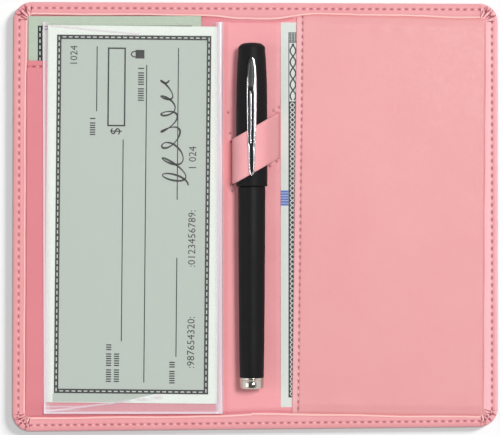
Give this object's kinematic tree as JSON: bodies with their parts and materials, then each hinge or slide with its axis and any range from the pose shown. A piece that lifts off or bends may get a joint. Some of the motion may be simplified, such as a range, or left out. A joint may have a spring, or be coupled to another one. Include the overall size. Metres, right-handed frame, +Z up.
{
  "type": "checkbook cover",
  "caption": "Pink leather checkbook cover lying open, with pocket panels, a clear divider flap and a slanted pen loop, holding checks, a capped pen and a banknote.",
  "frame": {"origin": "middle of the open cover, on the plane that its outer face rests on", "axes": "+X across the open cover towards the banknote pocket, +Y along the fold towards the pen cap, +Z up out of the inside"},
  "size_m": [0.1962, 0.1736, 0.017],
  "materials": {
    "pink_leather": "fine grain, soft sheen",
    "pink_inner": "fine grain, soft sheen",
    "pink_lining": "smooth lining cloth",
    "board": "raw board",
    "interlining": "fleece",
    "thread": "twisted thread",
    "clear_film": "clear film",
    "check_paper": "printed paper",
    "backing_card": "thin card",
    "black_plastic": "soft matt",
    "chrome": "polished",
    "steel": "turned",
    "white_plastic": "moulded",
    "grip_rubber": "matt",
    "note_paper": "printed paper"
  },
  "bodies": {
    "spine": {"spine_outer_skin": "pink_leather", "spine_interlining": "interlining", "spine_lining": "pink_lining", "centre_panel": "pink_inner", "pen_loop": "pink_inner", "pen_loop_stitching": "thread", "spine_border_stitching": "thread"},
    "left_cover": {"left_outer_skin": "pink_leather", "left_stiffener": "board", "left_lining": "pink_lining", "centre_panel_left_edge": "pink_inner", "left_pocket_panel": "pink_inner", "left_border_stitching": "thread", "left_hem_stitching": "thread", "clear_flap_root": "clear_film"},
    "right_cover": {"right_outer_skin": "pink_leather", "right_stiffener": "board", "right_lining": "pink_lining", "centre_panel_right_edge": "pink_inner", "right_pocket_panel": "pink_inner", "right_border_stitching": "thread", "right_hem_stitching": "thread"},
    "clear_flap": {"clear_flap": "clear_film"},
    "upper_checks": {"upper_check_top_leaf": "check_paper", "upper_check_leaves": "check_paper", "upper_check_backing": "backing_card", "upper_check_binding": "check_paper"},
    "lower_checks": {"lower_check_top_leaf": "check_paper", "lower_check_leaves": "check_paper", "lower_check_backing": "backing_card"},
    "pen_cap": {"pen_cap": "black_plastic", "pen_cap_liner": "white_plastic", "pen_clip": "chrome"},
    "pen_barrel": {"pen_barrel": "black_plastic", "pen_grip": "grip_rubber", "pen_point": "steel", "pen_refill": "white_plastic", "pen_end_plug": "chrome"},
    "banknote": {"banknote": "note_paper"}
  },
  "joints": [
    {"name": "left_cover_hinge", "type": "hinge", "parent": "spine", "child": "left_cover", "pos_m": [-0.0125, 0, 0.0023], "axis": [0, 1, 0], "range_deg": [0, 96]},
    {"name": "right_cover_hinge", "type": "hinge", "parent": "spine", "child": "right_cover", "pos_m": [0.0099, 0, 0.0023], "axis": [0, -1, 0], "range_deg": [0, 96]},
    {"name": "clear_flap_hinge", "type": "hinge", "parent": "left_cover", "child": "clear_flap", "pos_m": [-0.0139, 0, 0.0048], "axis": [0, -1, 0], "range_deg": [-120, 0]},
    {"name": "upper_checks_slide", "type": "slide", "parent": "left_cover", "child": "upper_checks", "axis": [0, 1, 0], "range_m": [0, 0.14]},
    {"name": "lower_checks_slide", "type": "slide", "parent": "left_cover", "child": "lower_checks", "axis": [0, 1, 0], "range_m": [0, 0.135]},
    {"name": "pen_slide", "type": "slide", "parent": "spine", "child": "pen_cap", "axis": [0, 1, 0], "range_m": [-0.024, 0.112]},
    {"name": "barrel_slide", "type": "slide", "parent": "pen_cap", "child": "pen_barrel", "axis": [0, 1, 0], "range_m": [-0.047, 0]},
    {"name": "banknote_slide", "type": "slide", "parent": "right_cover", "child": "banknote", "axis": [1, 0, 0], "range_m": [0, 0.015]}
  ]
}
